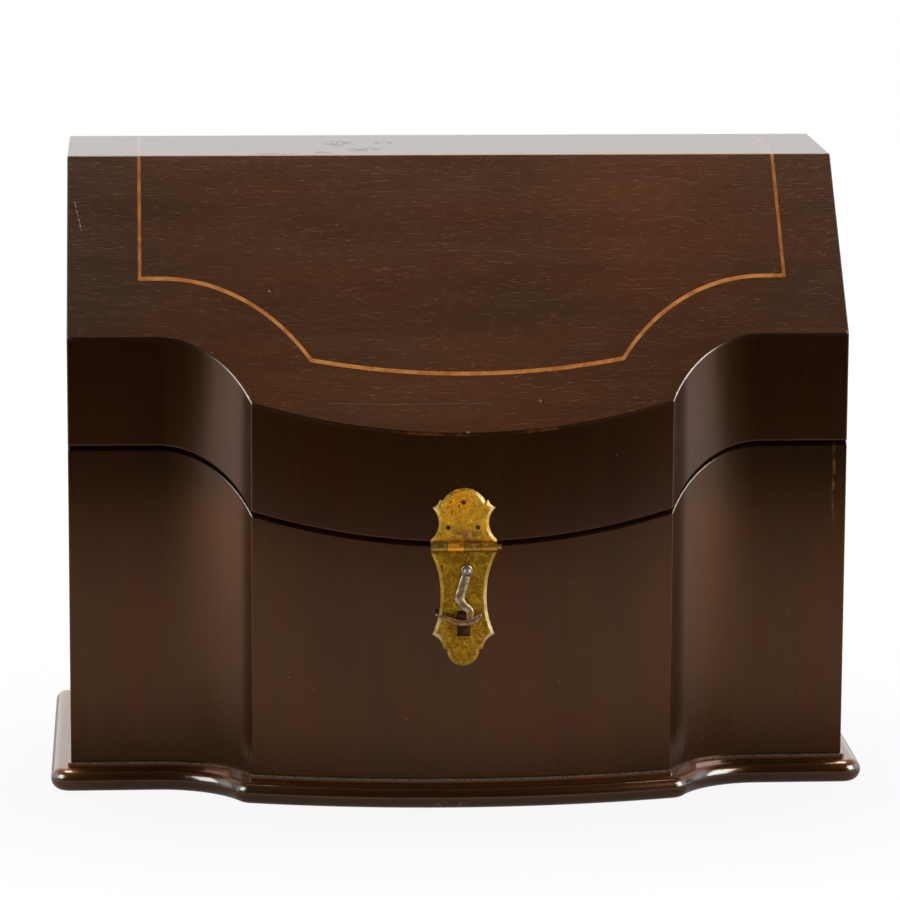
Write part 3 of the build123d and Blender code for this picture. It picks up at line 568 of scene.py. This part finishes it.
# Stations: right of the rivet, above it, in front of the eye, half width, half depth
SHANK = (
    (-0.3, -2.6, 0.0, 1.9, 0.7),
    (-0.9, -4.4, 0.3, 2.3, 1.0),
    (-2.5, -9.7, 0.7, 2.35, 1.20),
    (-3.4, -13.9, 1.0, 2.45, 1.30),
    (-1.9, -16.8, 1.2, 2.3, 1.30),
    (1.2, -19.4, 1.6, 2.0, 1.15),
    (1.5, -23.2, 2.1, 1.8, 0.85),
)
TAIL = (
    (6.3, -21.7, 2.3, 0.9, 0.60),
    (3.4, -24.5, 2.3, 1.5, 0.75),
    (-2.9, -25.4, 2.3, 1.55, 0.80),
    (-9.3, -23.5, 2.3, 1.35, 0.75),
    (-15.0, -21.1, 2.3, 0.45, 0.40),
)
HOOK_VOXEL = 0.16 * MM


def smooth_path(points, steps=8):
    """Points of a smooth curve through some stations, each a vector of any length."""
    stations = [points[0], *points, points[-1]]
    path = []
    for a, b, c, d in zip(stations, stations[1:], stations[2:], stations[3:]):
        for step in range(steps):
            t = step / steps
            path.append([
                0.5 * (2 * q + (r - p) * t + (2 * p - 5 * q + 4 * r - s) * t * t
                       + (3 * q - p - 3 * r + s) * t ** 3)
                for p, q, r, s in zip(a, b, c, d)
            ])
    return path + [list(points[-1])]


def add_tube(mesh, path, closed=False, sides=20):
    """Tube around a path of (place, direction across it, half width, half depth)."""
    rings = []
    for place, across, half_width, half_depth in path:
        ring = []
        for side in range(sides):
            turn = 2 * pi * side / sides
            offset = across * (half_width * cos(turn)) + Vector((0.0, half_depth * sin(turn), 0.0))
            ring.append(mesh.verts.new((place + offset) * MM))
        rings.append(ring)
    pairs = list(zip(rings, rings[1:] + rings[:1] if closed else rings[1:]))
    for first, second in pairs:
        for side in range(sides):
            after = (side + 1) % sides
            mesh.faces.new((first[side], first[after], second[after], second[side]))
    if not closed:
        mesh.faces.new(rings[0])
        mesh.faces.new(reversed(rings[-1]))


def rod_path(stations):
    """The path of a forged rod, with its ends rounded off."""
    points = smooth_path(stations)
    path = []
    for index, (right, up, ahead, half_width, half_depth) in enumerate(points):
        before = points[max(index - 1, 0)]
        after = points[min(index + 1, len(points) - 1)]
        across = Vector((after[1] - before[1], 0.0, before[0] - after[0])).normalized()
        path.append((RIVET + Vector((right, -ahead, up)), across, half_width, half_depth))
    rounded = []
    for (place, across, half_width, half_depth), neighbour in ((path[0], path[1]), (path[-1], path[-2])):
        outward = (place - neighbour[0]).normalized()
        cap = []
        for angle in (30, 55, 75):
            share = cos(radians(angle))
            end = place + outward * (half_width * sin(radians(angle)))
            cap.append((end, across, half_width * share, half_depth * share))
        rounded.append(cap)
    return rounded[0][::-1] + path + rounded[1]


def eye_path(steps=40):
    """The path of the ring around the rivet."""
    path = []
    for step in range(steps):
        out = Vector((cos(2 * pi * step / steps), 0.0, sin(2 * pi * step / steps)))
        path.append((RIVET + out * EYE_RADIUS, out, EYE_WIRE, EYE_DEPTH))
    return path


def add_hook(material):
    """Forged hook: a ring, a cranked shank and a tapered tail, run together as one piece."""
    mesh = bmesh.new()
    add_tube(mesh, eye_path(), closed=True)
    add_tube(mesh, rod_path(SHANK))
    add_tube(mesh, rod_path(TAIL))
    bmesh.ops.recalc_face_normals(mesh, faces=mesh.faces)
    data = bpy.data.meshes.new("forged_hook")
    mesh.to_mesh(data)
    mesh.free()
    hook = bpy.data.objects.new("forged_hook", data)
    bpy.context.scene.collection.objects.link(hook)
    blend = hook.modifiers.new("run together", "REMESH")
    blend.mode = "VOXEL"
    blend.voxel_size = HOOK_VOXEL
    blend.use_smooth_shade = True
    soften = hook.modifiers.new("soften", "SMOOTH")
    soften.factor = 0.5
    soften.iterations = 6
    graph = bpy.context.evaluated_depsgraph_get()
    hook.data = bpy.data.meshes.new_from_object(hook.evaluated_get(graph))
    hook.modifiers.clear()
    hook.data.materials.clear()
    hook.data.materials.append(material)
    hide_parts("hook")
    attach(hook, "hook")


# ---------------------------------------------------------------- studio
def add_camera():
    ahead = Vector((sin(CAMERA_YAW), cos(CAMERA_YAW), 0.0))
    right = Vector((cos(CAMERA_YAW), -sin(CAMERA_YAW), 0.0))
    level = Vector((0.0, 0.0, 1.0))
    forward = ahead * cos(CAMERA_PITCH) - level * sin(CAMERA_PITCH)
    up = level * cos(CAMERA_PITCH) + ahead * sin(CAMERA_PITCH)
    tilted_right = right * cos(CAMERA_ROLL) + up * sin(CAMERA_ROLL)
    tilted_up = up * cos(CAMERA_ROLL) - right * sin(CAMERA_ROLL)
    data = bpy.data.cameras.new("camera")
    data.lens = CAMERA_LENS
    data.sensor_width = CAMERA_SENSOR
    data.clip_end = 20.0
    camera = bpy.data.objects.new("camera", data)
    turn = Matrix((tilted_right, tilted_up, -forward)).transposed().to_4x4()
    camera.matrix_world = Matrix.Translation(CAMERA_PLACE) @ turn
    bpy.context.scene.collection.objects.link(camera)
    bpy.context.scene.camera = camera


def seen_directly(tree):
    """1 for camera, glossy and transmission rays, 0 for the light that falls on things."""
    path = tree.nodes.new("ShaderNodeLightPath")
    total = path.outputs["Is Camera Ray"]
    for other in ("Is Glossy Ray", "Is Transmission Ray"):
        node = tree.nodes.new("ShaderNodeMath")
        node.operation = "MAXIMUM"
        tree.links.new(total, node.inputs[0])
        tree.links.new(path.outputs[other], node.inputs[1])
        total = node.outputs[0]
    return total


def add_floor():
    """White table: it shows white, and keeps the box's shadow close to it. In reflections it shows painted
    light in bright spots beside the box, and painted shade near the box's foot.
    """
    mesh = bpy.data.meshes.new("floor")
    corners = (
        (-FLOOR_SIDE, FLOOR_FRONT, -FLOOR_DROP),
        (FLOOR_SIDE, FLOOR_FRONT, -FLOOR_DROP),
        (FLOOR_SIDE, FLOOR_BACK, -FLOOR_DROP),
        (-FLOOR_SIDE, FLOOR_BACK, -FLOOR_DROP),
    )
    mesh.from_pydata(corners, [], [(0, 1, 2, 3)])
    floor = bpy.data.objects.new("floor", mesh)
    bpy.context.scene.collection.objects.link(floor)
    s = Shader("floor")
    far = s.add("ShaderNodeVectorMath", operation="LENGTH")
    s.put(far.inputs[0], s.place)
    matt_share = s.band(far.outputs["Value"], SHADOW_NEAR, SHADOW_FAR, SHADOW_SHARE, 0.0)
    share = s.times(seen_directly(s.tree), s.minus(1.0, matt_share))
    mix = s.add("ShaderNodeMixShader")
    matt = s.add("ShaderNodeBsdfDiffuse")
    matt.inputs["Color"].default_value = FLOOR_MATT
    x, y, _ = s.axes()
    sideways = s.minus(s.math("ABSOLUTE", x), SPOT_PLACE[0])
    forwards = s.minus(y, SPOT_PLACE[1])
    from_spot = s.math("SQRT", s.math("ADD", s.math("POWER", sideways, 2.0), s.math("POWER", forwards, 2.0)))
    white = s.add("ShaderNodeEmission")
    # painted light: a brighter glow in spots beside the box
    shine = s.band(from_spot, 0.0, SPOT_EDGE, SPOT_SHINE, FLOOR_SHINE)
    from_foot = s.math("MAXIMUM", s.minus(s.math("ABSOLUTE", x), FOOT[0]),
                       s.minus(s.times(y, -1.0), FOOT[1]))
    # painted shade: a dimmer glow near the box's foot
    shine = s.times(shine, s.band(from_foot, -0.02, FOOT_SHADE, 0.25, 1.0))
    direct = s.times(s.add("ShaderNodeLightPath").outputs["Is Camera Ray"], FLOOR_WHITE)
    s.put(white.inputs["Strength"], s.math("MAXIMUM", shine, direct))
    s.put(mix.inputs[0], share)
    s.put(mix.inputs[1], matt.outputs[0])
    s.put(mix.inputs[2], white.outputs[0])
    s.put(s.tree.nodes["Material Output"].inputs["Surface"], mix.outputs[0])
    s.tree.nodes.remove(s.surface)
    mesh.materials.append(s.material)


def add_world():
    """White studio behind and beside the box, a dim ceiling, and a dark room in front."""
    world = bpy.data.worlds.new("studio")
    bpy.context.scene.world = world
    world.use_nodes = True
    tree = world.node_tree
    background = tree.nodes["Background"]

    def node(kind, **settings):
        made = tree.nodes.new(kind)
        for key, value in settings.items():
            setattr(made, key, value)
        return made

    def ramp(value, low, high, to_low, to_high):
        made = node("ShaderNodeMapRange", interpolation_type="SMOOTHSTEP")
        tree.links.new(value, made.inputs["Value"])
        limits = (("From Min", low), ("From Max", high), ("To Min", to_low), ("To Max", to_high))
        for socket, setting in limits:
            made.inputs[socket].default_value = setting
        return made.outputs[0]

    direction = node("ShaderNodeSeparateXYZ")
    tree.links.new(node("ShaderNodeTexCoord").outputs["Generated"], direction.inputs[0])
    depth = ramp(direction.outputs["Y"], -0.25, 0.15, 0.01, 1.0)
    ceiling = ramp(direction.outputs["Z"], 0.35, 0.75, 1.0, 0.25)
    room = node("ShaderNodeMath", operation="MULTIPLY")
    tree.links.new(depth, room.inputs[0])
    tree.links.new(ceiling, room.inputs[1])
    shown = node("ShaderNodeMath", operation="MAXIMUM")
    tree.links.new(room.outputs[0], shown.inputs[0])
    tree.links.new(node("ShaderNodeLightPath").outputs["Is Camera Ray"], shown.inputs[1])
    tree.links.new(shown.outputs[0], background.inputs["Strength"])
    background.inputs["Color"].default_value = (1.0, 1.0, 1.0, 1.0)


def add_lamp(name, place, target, width, height, radiance, gloss_only=False):
    """Rectangular softbox of a given brightness, turned towards a point."""
    data = bpy.data.lights.new(name, "AREA")
    data.shape = "RECTANGLE"
    data.size = width
    data.size_y = height
    data.energy = radiance * pi * width * height
    lamp = bpy.data.objects.new(name, data)
    lamp.location = place
    lamp.rotation_euler = (Vector(target) - Vector(place)).to_track_quat("-Z", "Y").to_euler()
    lamp.visible_diffuse = not gloss_only
    bpy.context.scene.collection.objects.link(lamp)


def add_studio():
    add_camera()
    add_floor()
    add_world()
    centre = (0.0, 0.0, 0.15)
    add_lamp("left_softbox", (-1.5, 0.30, 0.6), centre, 0.8, 0.8, 1.0)
    add_lamp("right_softbox", (1.5, 0.30, 0.6), centre, 0.8, 0.8, 1.0)
    add_lamp("left_panel", (-1.60, -0.60, 1.00), centre, 0.90, 1.00, 10.0, gloss_only=True)
    add_lamp("right_panel", (1.52, -0.72, 0.93), centre, 1.00, 1.14, 12.0, gloss_only=True)
    add_lamp("overhead", (0.0, 0.60, 1.9), centre, 1.6, 0.9, 11.0)


# ---------------------------------------------------------------- build
bpy.context.scene.view_settings.view_transform = "Standard"
looks = make_materials()
dress(looks)
add_hook(looks["hook"])
add_studio()
